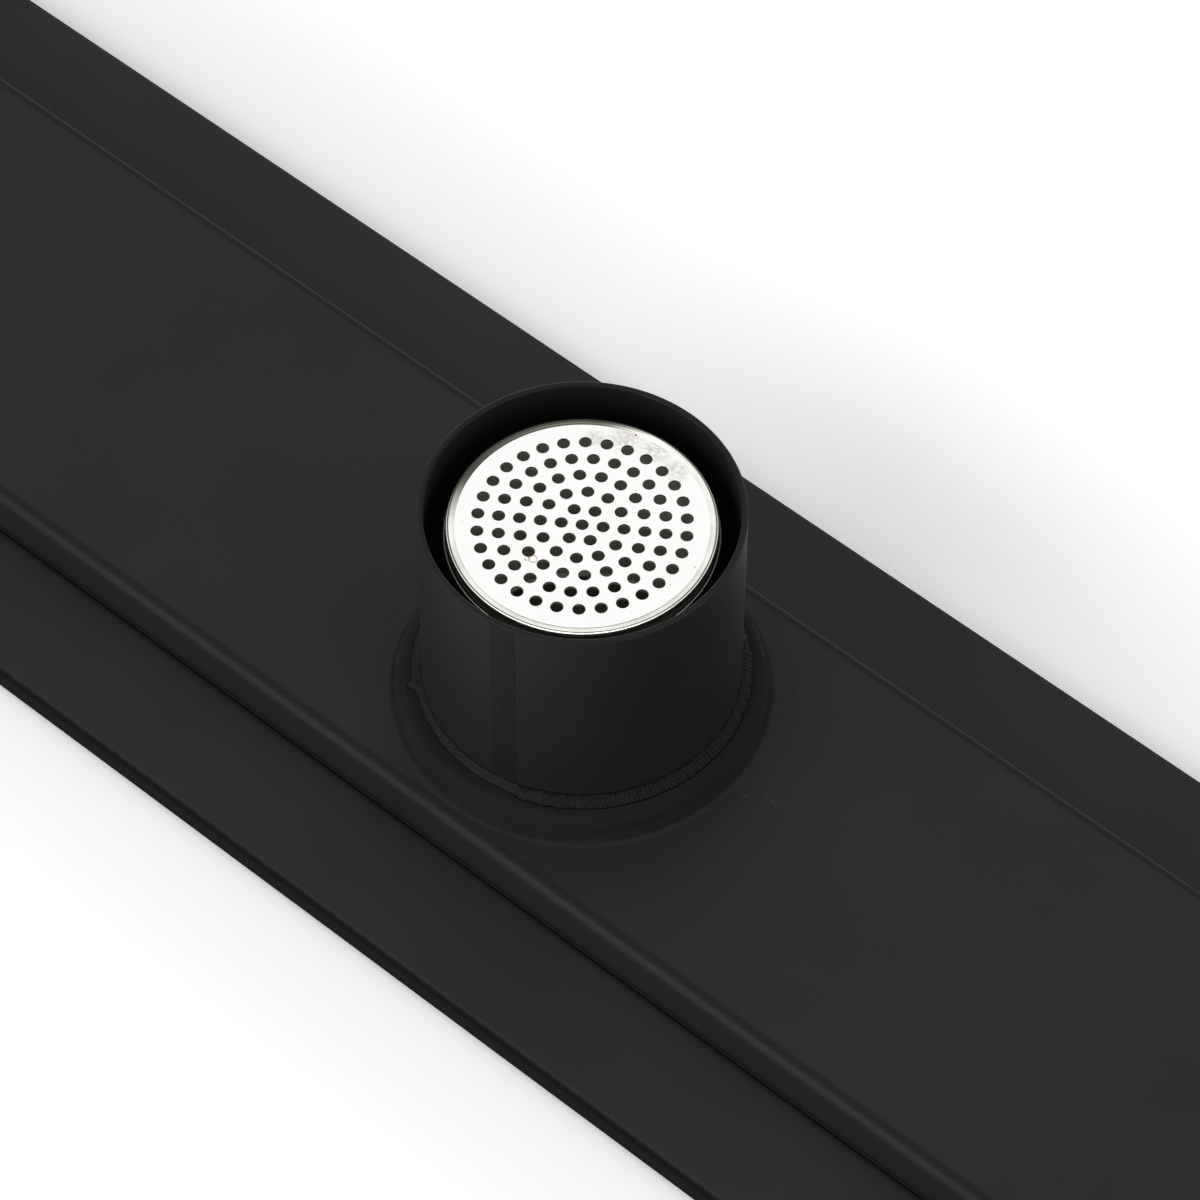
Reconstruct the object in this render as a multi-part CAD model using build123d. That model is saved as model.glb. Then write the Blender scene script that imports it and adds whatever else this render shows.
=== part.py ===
"""Linear channel drain in folded sheet, with a welded outlet pipe and a lift-out strainer.

It lies upside down, as it is stored and shown: lips and cover on the ground, outlet pipe up. X runs
along the channel, Y across it and Z up. The origin is on the ground, under the pipe's axis.
"""
import os
from math import atan2, radians, sin, tan

from build123d import *

# Channel
length = 600.0
sheet = 1.0
flange_width = 20.5
lip_height = 4.0
tray_rise = 8.0
wall_draft = 5.0
bend_radius = 1.0
root_bend_radius = 0.15
lip_bend_radius = 0.3

# Slit that the V-cut leaves in the fold at the wall's foot
crease_width = 0.5
crease_depth = 0.4

# Outlet pipe, and the neck drawn in the tray round it
pipe_diameter = 50.0
pipe_wall = 1.0
pipe_length = 40.5
rim_chamfer = 0.25
neck_rise = 4.5
neck_ledge = 3.15
neck_run = 1.0
neck_bend_radius = 1.0
neck_foot_radius = 0.5
neck_foot_flat = 0.05
neck_margin = 1.05

# Fillet weld round the pipe's foot
weld_width = 1.75
weld_height = 1.4
weld_crown = 0.25
weld_depth = 0.3

# Strainer
strainer_diameter = 42.2
strainer_wall = 0.5
tube_edge_radius = 0.2
strainer_setback = 3.7
cup_stand_out = 1.9
cup_edge_radius = 1.2
cup_skirt = 8.0
hole_diameter = 2.0
hole_pitch = 3.18
hole_rings = 5
hole_start_angle = -27.0
collar_thickness = 1.2
collar_clearance = 0.3
seal_thickness = 1.2
seal_width = 3.0

# Lifting strap of the strainer
strap_thickness = 1.0
strap_width = 8.0
strap_foot = 4.0
strap_lean = 4.0
strap_bend_radius = 1.0
strap_clearance = 0.3

# Cover
cover_sheet = 1.2
cover_gap = 5.0
cover_bend_radius = 0.8
window_length = 80.0
window_height = 5.0
windows_per_leg = 5

# Heights above the ground
flange_middle = lip_height - sheet / 2
floor_middle = flange_middle + tray_rise
floor_top = floor_middle + sheet / 2
floor_under = floor_middle - sheet / 2
neck_top = floor_top + neck_rise
neck_under = neck_top - sheet
rim = neck_top + pipe_length
strainer_face = rim - strainer_setback
collar_top = neck_under - seal_thickness
collar_under = collar_top - collar_thickness
weld_head = neck_top + weld_height

# Radii round the pipe's axis
pipe_radius = pipe_diameter / 2
bore_radius = pipe_radius - pipe_wall
weld_root = pipe_radius - weld_depth
neck_slope = atan2(neck_rise, neck_run)
neck_corner = pipe_radius + neck_ledge
neck_foot = neck_corner + neck_run
neck_corner_reach = (neck_bend_radius + sheet / 2) * tan(neck_slope / 2)
neck_foot_reach = (neck_foot_radius + sheet / 2) * tan(neck_slope / 2)
neck_edge = neck_foot + neck_foot_reach + neck_foot_flat
strainer_radius = strainer_diameter / 2
cup_radius = strainer_radius - strainer_wall
collar_radius = neck_corner - neck_corner_reach - collar_clearance

# Half widths of the channel, on the middle of its sheet
bend_middle = bend_radius + sheet / 2
root_bend_middle = root_bend_radius + sheet / 2
floor_edge = neck_edge + neck_margin
wall_top = floor_edge + bend_middle * tan(radians(90 - wall_draft) / 2)
wall_root = wall_top + tray_rise * tan(radians(wall_draft))
lip_middle = wall_root + flange_width
half_width = lip_middle + sheet / 2
half_length = length / 2
floor_end = half_length - (half_width - floor_edge)


def folded(points, radii, thickness):
    """The section of a sheet whose middle runs through the points, with a bend at each inner one."""
    return trace(FilletPolyline(*points, radius=radii), line_width=thickness)


def ring(outer, inner, bottom, top):
    """A round ring about the pipe's axis."""
    face = Plane.XZ * Pos((outer + inner) / 2, (bottom + top) / 2) * Rectangle(outer - inner, top - bottom)
    return revolve(face, Axis.Z)


def side_points(start):
    """The middle of the sheet from the tray's floor out to the lip's lower edge."""
    return [
        (start, floor_middle),
        (wall_top, floor_middle),
        (wall_root, flange_middle),
        (lip_middle, flange_middle),
        (lip_middle, 0),
    ]


def side_radii():
    return [bend_middle, root_bend_middle, lip_bend_radius + sheet / 2]


def crease():
    """The section of the slit: it halves the angle between wall and flange."""
    half_turn = (90 + wall_draft) / 2
    mouth = root_bend_middle / sin(radians(half_turn)) - root_bend_radius
    slit = Pos(mouth, 0) * Rectangle(2 * crease_depth, crease_width)
    return Pos(wall_root, flange_middle) * Rot(0, 0, half_turn) * slit


def end_wedge():
    """What the right end piece takes up in plan: its sides run at 45 degrees through the corners."""
    reach = half_length - floor_end
    outline = Polyline(
        (floor_end, -floor_edge),
        (floor_end, floor_edge),
        (half_length, floor_edge + reach),
        (half_length, -floor_edge - reach),
        close=True,
    )
    return extrude(make_face(outline), amount=rim)


def neck():
    """The round neck that is drawn up out of the tray's floor, with the hole for the water."""
    points = [
        (bore_radius, neck_top - sheet / 2),
        (neck_corner, neck_top - sheet / 2),
        (neck_foot, floor_middle),
        (neck_edge, floor_middle),
    ]
    radii = [neck_bend_radius + sheet / 2, neck_foot_radius + sheet / 2]
    return revolve(Plane.XZ * folded(points, radii, sheet), Axis.Z)


def channel_tray():
    right = side_points(0)
    left = [(-y, z) for y, z in reversed(right[1:])]
    section = folded(left + right[1:], side_radii()[::-1] + side_radii(), sheet)
    section -= [crease(), mirror(crease(), Plane.YZ)]
    body = extrude(Plane.YZ * section, amount=half_length, both=True)
    wedge = end_wedge()
    body -= [wedge, mirror(wedge, Plane.YZ)]
    body -= Pos(0, 0, floor_middle) * Cylinder(neck_edge, 2 * sheet)
    return body + neck()


def right_end():
    """The end wall with its flange and lip, mitred to the tray's side flanges."""
    shift = floor_end - floor_edge
    points = [(x + shift, z) for x, z in side_points(floor_edge - bend_middle)]
    section = folded(points, side_radii(), sheet) - Pos(shift, 0) * crease()
    return extrude(Plane.XZ * section, amount=half_width, both=True) & end_wedge()


def outlet_pipe():
    """The rolled pipe, with its foot melted back on the outside where the weld bites into it."""
    pipe = ring(pipe_radius, bore_radius, neck_top, rim)
    rim_edges = pipe.edges().group_by(Axis.Z)[-1]
    return chamfer(rim_edges, rim_chamfer) - ring(pipe_radius, weld_root, neck_top, weld_head)


def outlet_weld():
    """A fillet weld with a slightly crowned face."""
    foot = (pipe_radius + weld_width, neck_top)
    head = (pipe_radius, weld_head)
    root = [head, (weld_root, weld_head), (weld_root, neck_top), foot]
    lines = Polyline(*root) + SagittaArc(foot, head, -weld_crown)
    return revolve(Plane.XZ * make_face(lines), Axis.Z)


def hole_places():
    """One hole in the middle and rings of 6, 12, 18 and so on round it."""
    places = [Pos(0, 0)]
    for ring_number in range(1, hole_rings + 1):
        places += PolarLocations(ring_number * hole_pitch, 6 * ring_number, hole_start_angle)
    return places


def strainer_cup():
    face_middle = strainer_face - strainer_wall / 2
    skirt_middle = cup_radius - strainer_wall / 2
    skirt_end = strainer_face - cup_stand_out - cup_skirt
    points = [(0, face_middle), (skirt_middle, face_middle), (skirt_middle, skirt_end)]
    section = folded(points, [cup_edge_radius - strainer_wall / 2], strainer_wall)
    cup = revolve(Plane.XZ * section, Axis.Z)
    holes = Sketch() + [place * Circle(hole_diameter / 2) for place in hole_places()]
    return cup - extrude(Pos(0, 0, face_middle) * holes, amount=strainer_wall, both=True)


def strainer_tube():
    tube = ring(strainer_radius, cup_radius, collar_top, strainer_face - cup_stand_out)
    return fillet(tube.edges().group_by(Axis.Z)[-1], tube_edge_radius)


def strainer_collar():
    return ring(collar_radius, cup_radius, collar_under, collar_top)


def strainer_seal():
    return ring(collar_radius, collar_radius - seal_width, collar_top, neck_under)


def strainer_handle():
    """A strap across the strainer's mouth, with a foot welded to the collar at each end."""
    foot_level = collar_under - strap_thickness / 2
    grip_level = cover_sheet + strap_clearance + strap_thickness / 2
    foot_end = cup_radius + strap_foot
    half = [(foot_end, foot_level), (cup_radius, foot_level), (cup_radius - strap_lean, grip_level)]
    points = [(-x, z) for x, z in half] + half[::-1]
    section = folded(points, strap_bend_radius + strap_thickness / 2, strap_thickness)
    return extrude(Plane.XZ * section, amount=strap_width / 2, both=True)


def cover_panel():
    """A folded panel that stands on the tray's floor on two legs, cut away in windows for the water."""
    leg = wall_root - sheet / 2 - cover_gap - cover_sheet / 2
    panel = cover_sheet / 2
    half_cover = leg + cover_sheet / 2 + floor_end - floor_edge
    points = [(-leg, floor_under), (-leg, panel), (leg, panel), (leg, floor_under)]
    section = folded(points, cover_bend_radius + cover_sheet / 2, cover_sheet)
    cover = extrude(Plane.YZ * section, amount=half_cover, both=True)
    pitch = 2 * half_cover / windows_per_leg
    window = Box(window_length, 2 * leg + 4 * cover_sheet, 2 * window_height)
    places = GridLocations(pitch, 0, windows_per_leg, 1)
    return cover - [Pos(0, 0, floor_under) * place * window for place in places]


end_piece = right_end()
parts = {
    "channel_tray": channel_tray(),
    "right_end": end_piece,
    "left_end": mirror(end_piece, Plane.YZ),
    "outlet_pipe": outlet_pipe(),
    "outlet_weld": outlet_weld(),
    "strainer_cup": strainer_cup(),
    "strainer_tube": strainer_tube(),
    "strainer_collar": strainer_collar(),
    "strainer_seal": strainer_seal(),
    "strainer_handle": strainer_handle(),
    "cover_panel": cover_panel(),
}

os.makedirs("parts", exist_ok=True)
for name, shape in parts.items():
    export_step(shape, f"parts/{name}.step")
print(f"width {2 * half_width:.2f}  tray {2 * wall_root + sheet:.2f}  height {rim:.2f}  neck {neck_edge:.2f}")
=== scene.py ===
"""Finishes, weld beads, marks, floor, light and camera for the folded channel drain.

Everything is in metres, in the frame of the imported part: X along the channel, Y across it and Z up, with
the origin on the floor under the outlet pipe's axis.
"""
import math

import bmesh
import bpy
from mathutils import Matrix, Vector, noise


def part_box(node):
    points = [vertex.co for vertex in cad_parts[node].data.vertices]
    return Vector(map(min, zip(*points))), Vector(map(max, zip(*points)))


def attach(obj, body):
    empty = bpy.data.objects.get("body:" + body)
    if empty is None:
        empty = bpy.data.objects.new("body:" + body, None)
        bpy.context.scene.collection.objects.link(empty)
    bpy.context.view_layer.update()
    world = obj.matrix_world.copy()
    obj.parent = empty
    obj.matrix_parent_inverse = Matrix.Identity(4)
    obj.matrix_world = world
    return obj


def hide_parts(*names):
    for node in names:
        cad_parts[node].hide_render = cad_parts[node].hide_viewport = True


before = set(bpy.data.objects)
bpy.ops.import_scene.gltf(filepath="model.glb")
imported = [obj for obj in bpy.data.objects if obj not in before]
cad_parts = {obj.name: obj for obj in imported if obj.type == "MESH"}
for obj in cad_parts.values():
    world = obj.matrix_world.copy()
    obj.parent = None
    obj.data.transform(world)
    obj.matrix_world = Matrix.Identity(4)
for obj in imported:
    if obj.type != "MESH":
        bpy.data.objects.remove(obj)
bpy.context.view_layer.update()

MM = 0.001
BODY = "root"

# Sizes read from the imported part
pipe_low, pipe_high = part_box("outlet_pipe")
weld_low, weld_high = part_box("outlet_weld")
end_low, end_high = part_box("right_end")
cup_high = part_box("strainer_cup")[1]
tube_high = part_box("strainer_tube")[1]
PIPE_RADIUS = pipe_high.x
RIM = pipe_high.z
NECK_TOP = pipe_low.z
WELD_REACH = weld_high.x - PIPE_RADIUS
WELD_RISE = weld_high.z - weld_low.z
WELD_HEAD = NECK_TOP + WELD_RISE
STRAINER_FACE = cup_high.z
FLOOR_TOP = end_high.z
HALF_LENGTH = end_high.x
HALF_WIDTH = end_high.y
FLOOR_END = end_low.x
FLOOR_EDGE = HALF_WIDTH - (HALF_LENGTH - FLOOR_END)

# Sizes of the sheets that a box doesn't give, and the wall's draft in degrees
FLANGE_TOP = 4 * MM
FLANGE_WIDTH = 20.5 * MM
CUP_SHEET = 0.5 * MM
WALL_DRAFT = 5
BEND_OUTSIDE = 2 * MM
ROOT_BEND = 0.15 * MM


def turned(angle, radius, height):
    """The point at that angle, radius and height about the pipe's axis."""
    return Vector((radius * math.cos(angle), radius * math.sin(angle), height))


def apart(a, b):
    """How far apart two angles are, whichever way round is shorter."""
    return abs((a - b + math.pi) % (2 * math.pi) - math.pi)


def hump(distance, spread):
    """A smooth hump of height 1 that fades over the spread."""
    return math.exp(-((distance / spread) ** 2))


def spun(outline, steps):
    """A ring about the pipe's axis, from a closed outline of distances from the axis and heights."""
    mesh = bmesh.new()
    verts = [mesh.verts.new((out, 0, height)) for out, height in outline]
    edges = [mesh.edges.new(ends) for ends in zip(verts, verts[1:] + verts[:1])]
    bmesh.ops.spin(mesh, geom=verts + edges, cent=(0, 0, 0), axis=(0, 0, 1), angle=2 * math.pi,
                   steps=steps, use_merge=True)
    return mesh


def linked(name, data):
    """A new object in the scene with that data."""
    made = bpy.data.objects.new(name, data)
    bpy.context.scene.collection.objects.link(made)
    return made


def mesh_data(name, mesh):
    """Turns a bmesh into mesh data and frees it."""
    data = bpy.data.meshes.new(name)
    mesh.to_mesh(data)
    mesh.free()
    return data


def piece(name, mesh, material):
    """Finishes a bmesh as a smooth shaded piece of the drain."""
    bmesh.ops.recalc_face_normals(mesh, faces=mesh.faces)
    data = mesh_data(name, mesh)
    for face in data.polygons:
        face.use_smooth = True
    data.materials.append(material)
    made = linked(name, data)
    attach(made, BODY)
    return made


# Shader nodes

VALUE = "NodeSocketFloat"
VECTOR = "NodeSocketVector"
MIDDLE = (0, 0, 0)


class Nodes:
    """Short ways to place and join nodes in one tree."""

    def __init__(self, tree):
        self.tree = tree

    def feed(self, socket, value):
        """Links another socket to this one, or sets its value."""
        if isinstance(value, bpy.types.NodeSocket):
            self.tree.links.new(value, socket)
        else:
            socket.default_value = value

    def put(self, kind, settings=None, **inputs):
        """A new node. An input's name is written with underscores for its spaces."""
        node = self.tree.nodes.new(kind)
        for key, value in (settings or {}).items():
            setattr(node, key, value)
        for key, value in inputs.items():
            self.feed(node.inputs[key.replace("_", " ")], value)
        return node

    def math(self, operation, a, b=0.0):
        node = self.put("ShaderNodeMath", {"operation": operation})
        self.feed(node.inputs[0], a)
        self.feed(node.inputs[1], b)
        return node.outputs[0]

    def times(self, a, b):
        return self.math("MULTIPLY", a, b)

    def rest(self, value):
        """1 less the value."""
        return self.math("SUBTRACT", 1.0, value)

    def off(self, value, middle):
        """How far a value is from the middle, on either side."""
        return self.math("ABSOLUTE", self.math("SUBTRACT", value, middle))

    def fade(self, value, start, end):
        """0 before start and 1 after end, smooth between them."""
        node = self.put("ShaderNodeMapRange", {"interpolation_type": "SMOOTHSTEP"},
                        Value=value, From_Min=start, From_Max=end)
        return node.outputs[0]

    def within(self, value, inner, outer):
        """1 before inner and 0 after outer, smooth between them."""
        return self.rest(self.fade(value, inner, outer))

    def spread(self, value, low, high):
        """A value from 0 to 1 as one from low to high."""
        return self.put("ShaderNodeMapRange", Value=value, To_Min=low, To_Max=high).outputs[0]

    def noise(self, place, scale, detail=3.0, roughness=0.5):
        """Noise with that many cells to a metre."""
        node = self.put("ShaderNodeTexNoise", Vector=place, Scale=scale, Detail=detail, Roughness=roughness)
        return node.outputs[0]

    def vector(self, operation, a, b=MIDDLE):
        """A vector sum, with the outputs Vector and Value."""
        node = self.put("ShaderNodeVectorMath", {"operation": operation})
        self.feed(node.inputs[0], a)
        self.feed(node.inputs[1], b)
        return node.outputs

    def distance(self, place, middle):
        return self.vector("DISTANCE", place, middle)["Value"]

    def split(self, place):
        """A place's X, Y and Z."""
        return self.put("ShaderNodeSeparateXYZ", Vector=place).outputs

    def joined(self, x, y, z=0.0):
        """The place with those X, Y and Z."""
        return self.put("ShaderNodeCombineXYZ", X=x, Y=y, Z=z).outputs[0]

    def from_axis(self, place):
        """How far a place is from the pipe's axis."""
        at = self.split(place)
        return self.distance(self.joined(at["X"], at["Y"]), MIDDLE)

    def tint(self, amount, a, b):
        """Colour a where the amount is 0, and colour b where it is 1."""
        node = self.put("ShaderNodeMix", {"data_type": "RGBA"})
        self.feed(node.inputs[0], amount)
        self.feed(node.inputs[6], a)
        self.feed(node.inputs[7], b)
        return node.outputs[2]

    def over(self, colour, mask, share, coat):
        """A coat laid over a colour, as strongly as the mask times the share."""
        return self.tint(self.times(mask, share), colour, coat)


def group(name, inputs, outputs):
    """A new shader group: its tree, its Nodes, what comes in and what goes out."""
    tree = bpy.data.node_groups.new(name, "ShaderNodeTree")
    for label, kind, value in inputs:
        tree.interface.new_socket(label, in_out="INPUT", socket_type=kind).default_value = value
    for label in outputs:
        tree.interface.new_socket(label, in_out="OUTPUT", socket_type=VALUE)
    come = tree.nodes.new("NodeGroupInput").outputs
    go = tree.nodes.new("NodeGroupOutput").inputs
    return tree, Nodes(tree), come, go


# Effects that several finishes share

COAT_GRAIN = 0.4 * MM
COAT_MOTTLE = 30 * MM
MOTTLE_SPAN = (0.3, 0.7)
PEEL_SCALE = 0.3
FLECK_CELLS = 2500.0
STAIN_CELLS = 1700.0
RING_CELLS = 1800.0


def skin_group():
    """A coat's or a sheet's skin: the height of its grain, the finest of that grain, and a slow mottle."""
    tree, n, come, go = group(
        "Sprayed coat",
        [("Place", VECTOR, MIDDLE), ("Grain size", VALUE, COAT_GRAIN), ("Mottle size", VALUE, COAT_MOTTLE)],
        ["Height", "Mottle", "Fine"],
    )
    fine = n.noise(come["Place"], n.math("DIVIDE", 1.0, come["Grain size"]), 2.0, 0.6)
    peel = n.noise(come["Place"], n.math("DIVIDE", PEEL_SCALE, come["Grain size"]), 1.0)
    slow = n.noise(come["Place"], n.math("DIVIDE", 1.0, come["Mottle size"]), 3.0)
    n.feed(go["Height"], n.math("ADD", n.times(fine, 0.5), n.times(peel, 0.5)))
    n.feed(go["Mottle"], n.fade(slow, *MOTTLE_SPAN))
    n.feed(go["Fine"], fine)
    return tree


def specks_group():
    """Small round specks, strewn thinly. Their size and share are parts of the spacing and of all cells."""
    tree, n, come, go = group(
        "Specks",
        [("Place", VECTOR, MIDDLE), ("Spacing", VALUE, 0.012), ("Size", VALUE, 0.012), ("Share", VALUE, 0.2)],
        ["Mask"],
    )
    cells = n.put("ShaderNodeTexVoronoi", {"feature": "F1"}, Vector=come["Place"],
                  Scale=n.math("DIVIDE", 1.0, come["Spacing"])).outputs
    near = n.within(cells["Distance"], 0.0, come["Size"])
    draw = n.put("ShaderNodeSeparateColor", Color=cells["Color"]).outputs[0]
    n.feed(go["Mask"], n.times(near, n.math("LESS_THAN", draw, come["Share"])))
    return tree


def stroke_group():
    """A short straight stroke through its middle, soft at both ends and broken into flecks."""
    tree, n, come, go = group(
        "Stroke",
        [("Place", VECTOR, MIDDLE), ("Middle", VECTOR, MIDDLE), ("Along", VECTOR, (1, 0, 0)),
         ("Half length", VALUE, 0.004), ("Width", VALUE, 0.0001), ("Broken", VALUE, 0.5)],
        ["Mask"],
    )
    away = n.vector("SUBTRACT", come["Place"], come["Middle"])["Vector"]
    along = n.math("ABSOLUTE", n.vector("DOT_PRODUCT", away, come["Along"])["Value"])
    reach = n.vector("LENGTH", away)["Value"]
    squares = n.math("SUBTRACT", n.math("POWER", reach, 2.0), n.math("POWER", along, 2.0))
    aside = n.math("SQRT", n.math("MAXIMUM", squares, 0.0))
    half = come["Half length"]
    stroke = n.times(n.within(aside, 0.0, come["Width"]), n.within(along, n.times(half, 0.5), half))
    flecks = n.fade(n.noise(come["Place"], FLECK_CELLS, 2.0), n.times(come["Broken"], 0.9), 0.7)
    n.feed(go["Mask"], n.times(stroke, flecks))
    return tree


def stain_group():
    """A soft uneven stain round one place."""
    tree, n, come, go = group(
        "Stain",
        [("Place", VECTOR, MIDDLE), ("Middle", VECTOR, MIDDLE), ("Reach", VALUE, 0.004),
         ("Cells", VALUE, STAIN_CELLS)],
        ["Mask"],
    )
    away = n.distance(come["Place"], come["Middle"])
    near = n.within(away, n.times(come["Reach"], 0.2), come["Reach"])
    patchy = n.fade(n.noise(come["Place"], come["Cells"], 4.0, 0.65), 0.34, 0.6)
    n.feed(go["Mask"], n.times(near, patchy))
    return tree


SKIN = skin_group()
SPECKS = specks_group()
STROKE = stroke_group()
STAIN = stain_group()


def placed(n, tree, place, **values):
    """The outputs of a shader group that is placed in a material with its own values."""
    return n.put("ShaderNodeGroup", {"node_tree": tree}, Place=place, **values).outputs


def grained(n, place, grain, mottle=COAT_MOTTLE):
    """The skin of a finish, with the sizes of its own grain and mottle."""
    return placed(n, SKIN, place, Grain_size=grain, Mottle_size=mottle)


def near_line(n, across, height, line, span):
    """1 by a line along one side of the channel, fading to 0 over a span of distances from it."""
    aside = n.math("POWER", n.off(across, line[0]), 2.0)
    above = n.math("POWER", n.off(height, line[1]), 2.0)
    return n.within(n.math("SQRT", n.math("ADD", aside, above)), *span)


def spot(n, place, middle, radius):
    """1 inside a small round spot."""
    return n.within(n.distance(place, middle), 0.5 * radius, radius)


def dried_ring(n, place, middle, radius, width):
    """1 on a thin ring, broken here and there."""
    line = n.within(n.off(n.distance(place, middle), radius), 0.3 * width, width)
    return n.times(line, n.fade(n.noise(place, RING_CELLS, 2.0), 0.35, 0.5))


def new_material(name):
    """A new material, its Nodes, its shader and the place of each point."""
    material = bpy.data.materials.new(name)
    material.use_nodes = True
    shader = material.node_tree.nodes["Principled BSDF"]
    n = Nodes(material.node_tree)
    return material, n, shader, n.put("ShaderNodeTexCoord").outputs["Object"]


def finish(n, shader, colour, roughness, height, relief):
    """Joins a finish to its shader. The relief is how strong and how deep the height is."""
    strength, depth = relief
    bump = n.put("ShaderNodeBump", Height=height, Strength=strength, Distance=depth)
    n.feed(shader.inputs["Base Color"], colour)
    n.feed(shader.inputs["Roughness"], roughness)
    n.feed(shader.inputs["Normal"], bump.outputs[0])


def shine(shader, level):
    shader.inputs["Specular IOR Level"].default_value = level


# The sprayed black coat

COAT_DARK = (0.0148, 0.0148, 0.0147, 1)
COAT_LIGHT = (0.0175, 0.0175, 0.0174, 1)
COAT_SHINE = 0.13
COAT_ROUGHNESS = (0.46, 0.56)
COAT_RELIEF = (0.6, 0.012 * MM)
DRY_COAT = 0.45
DUST = (0.07, 0.07, 0.065, 1)
DUST_SPECKS = {"Spacing": 9 * MM, "Size": 0.014, "Share": 0.25}
DUST_SHARE = 0.5
# Near black, for painted shade in the folds, bends, lips, neck and weld, for a darker rim band, and for real
# dark marks and specks
SHADE_AND_MARK_BLACK = (0.002, 0.002, 0.002, 1)


def coat(name, dark=COAT_DARK, light=COAT_LIGHT, marks=None, dry=None):
    """Matt black sprayed coat: slow mottle, fine grain, a little dust, and what marks and dry add."""
    material, n, shader, place = new_material(name)
    skin = grained(n, place, COAT_GRAIN)
    dust = placed(n, SPECKS, place, **DUST_SPECKS)["Mask"]
    colour = n.over(n.tint(skin["Mottle"], dark, light), dust, DUST_SHARE, DUST)
    if marks:
        colour = marks(n, place, colour)
    rough = n.spread(skin["Fine"], *COAT_ROUGHNESS)
    if dry:
        rough = n.math("ADD", rough, n.times(dry(n, place), DRY_COAT))
    finish(n, shader, colour, rough, skin["Height"], COAT_RELIEF)
    shine(shader, COAT_SHINE)
    return material


# The coat on the folded sides, with painted shade in the fold, along the bend and on the lip. Places are
# measured out from where the tray's floor ends, and a span is where a shade starts and ends fading.
FOLD_OUT = 2.55 * MM
FOLD_SPAN = (0.30 * MM, 1.3 * MM)
FOLD_SHADE = 0.9
BEND_OUT = 0.55 * MM
BEND_SPAN = (0.2 * MM, 1.15 * MM)
BEND_SHADE = 0.62
BEND_DRY = 0.42
LIP_OUT = HALF_WIDTH - FLOOR_EDGE
LIP_START = 1.0 * MM
LIP_FULL = 0.35 * MM
LIP_FACE_SHADE = 0.9


def bend_and_lip(n, place, axis, floor_end):
    """Masks for the bend over the wall and for the lip, and the place's distance across and height."""
    at = n.split(place)
    across = n.math("ABSOLUTE", at[axis])
    bend = near_line(n, across, at["Z"], (floor_end + BEND_OUT, FLOOR_TOP), BEND_SPAN)
    lip = n.fade(across, floor_end + LIP_OUT - LIP_START, floor_end + LIP_OUT - LIP_FULL)
    return bend, lip, across, at["Z"]


def side_shade(n, place, colour, axis, floor_end):
    """Painted shade in the fold at the wall's foot, along the bend above it, and over the lip's outer face.
    """
    bend, lip, across, height = bend_and_lip(n, place, axis, floor_end)
    fold = near_line(n, across, height, (floor_end + FOLD_OUT, FLANGE_TOP), FOLD_SPAN)
    # Painted shade: darker in the fold at the wall's foot, along the bend above it and over the lip's outer
    # face
    colour = n.over(colour, fold, FOLD_SHADE, SHADE_AND_MARK_BLACK)
    colour = n.over(colour, bend, BEND_SHADE, SHADE_AND_MARK_BLACK)
    return n.over(colour, lip, LIP_FACE_SHADE, SHADE_AND_MARK_BLACK)


def dry_side(n, place, axis, floor_end):
    """Where the coat lies thin and rough: partly on the bend over the wall, and fully on the lip."""
    bend, lip, _, _ = bend_and_lip(n, place, axis, floor_end)
    return n.math("MAXIMUM", n.times(bend, BEND_DRY), lip)


# Painted shade on the folded sides of the ends
def end_shade(n, place, colour):
    return side_shade(n, place, colour, "X", FLOOR_END)


def dry_end(n, place):
    return dry_side(n, place, "X", FLOOR_END)


# The coat on the drawn neck, in distances from the pipe's axis
NECK_EDGE = 30.6 * MM
NECK_INNER = NECK_EDGE - 1.0 * MM
NECK_PAINTED_SHADE = 0.32
NECK_DRY = 0.92
NECK_BASE_SHADE_RING = NECK_EDGE - 0.5 * MM
NECK_BASE_SHADE_SPAN = (0.1 * MM, 0.8 * MM)
NECK_BASE_SHADE_AMOUNT = 0.3
DRAW_CELLS = 2200.0
DRAW_STRETCH = 0.03
DRAW_SPAN = (0.5, 0.62)
DRAW_START = (26.6 * MM, 28 * MM)
DRAW_END = (32 * MM, 36 * MM)
DRAW_DARK = 0.25


def neck_shade(n, place, colour):
    """Painted shade over the drawn neck and in a ring at its foot, with faint rings from the drawing."""
    at = n.split(place)
    radius = n.from_axis(place)
    # Painted shade over the drawn neck
    colour = n.over(colour, n.within(radius, NECK_INNER, NECK_EDGE), NECK_PAINTED_SHADE, SHADE_AND_MARK_BLACK)
    # A ring of painted shade in the neck's foot
    colour = n.over(colour, n.within(n.off(radius, NECK_BASE_SHADE_RING), *NECK_BASE_SHADE_SPAN), NECK_BASE_SHADE_AMOUNT, SHADE_AND_MARK_BLACK)
    along = n.joined(radius, n.times(at["X"], DRAW_STRETCH), n.times(at["Y"], DRAW_STRETCH))
    rings = n.fade(n.noise(along, DRAW_CELLS, 2.0), *DRAW_SPAN)
    zone = n.math("SUBTRACT", n.fade(radius, *DRAW_START), n.fade(radius, *DRAW_END))
    return n.over(colour, n.times(rings, zone), DRAW_DARK, SHADE_AND_MARK_BLACK)


def dry_tray(n, place):
    neck = n.within(n.from_axis(place), NECK_INNER, NECK_EDGE)
    return n.math("MAXIMUM", dry_side(n, place, "Y", FLOOR_EDGE), n.times(neck, NECK_DRY))


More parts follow.
